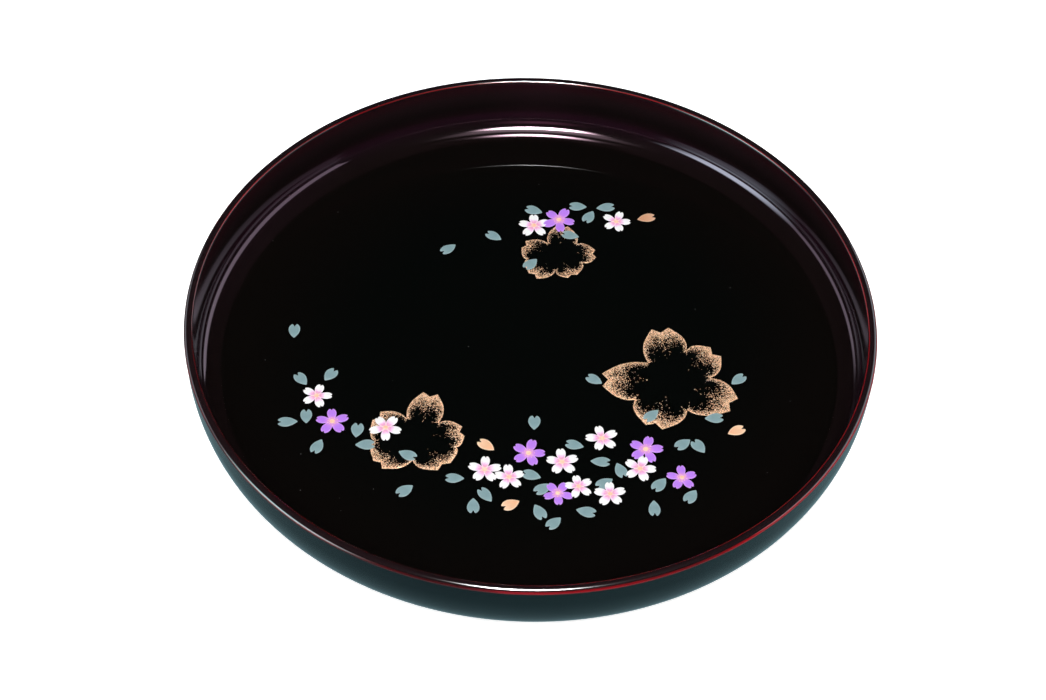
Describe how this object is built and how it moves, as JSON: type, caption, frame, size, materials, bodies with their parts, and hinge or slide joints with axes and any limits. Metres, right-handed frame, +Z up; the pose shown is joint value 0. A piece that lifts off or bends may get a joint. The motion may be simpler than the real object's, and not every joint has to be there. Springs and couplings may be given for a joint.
{
  "type": "serving tray",
  "caption": "Round lacquered serving tray with a low upright wall, a rounded heel, a flat mirror floor painted with scattered cherry blossoms, and a foot ring beneath.",
  "frame": {"origin": "centre of the circle on which the tray rests, on the table plane", "axes": "+Z up through the middle of the tray, +Y away from the person it is set before, +X to their right"},
  "size_m": [0.3, 0.3, 0.036],
  "materials": {
    "tame_lacquer": "polished translucent red-brown lacquer over wood, black on the outside",
    "black_lacquer": "polished black lacquer over wood",
    "gold_powder": "fine gold powder sprinkled on lacquer, satin",
    "blossom_paint": "raised enamel-like lacquer paint, satin"
  },
  "bodies": {
    "root": {"wall_ring": "tame_lacquer", "floor_board": "black_lacquer", "foot_ring": "black_lacquer"}
  },
  "joints": []
}
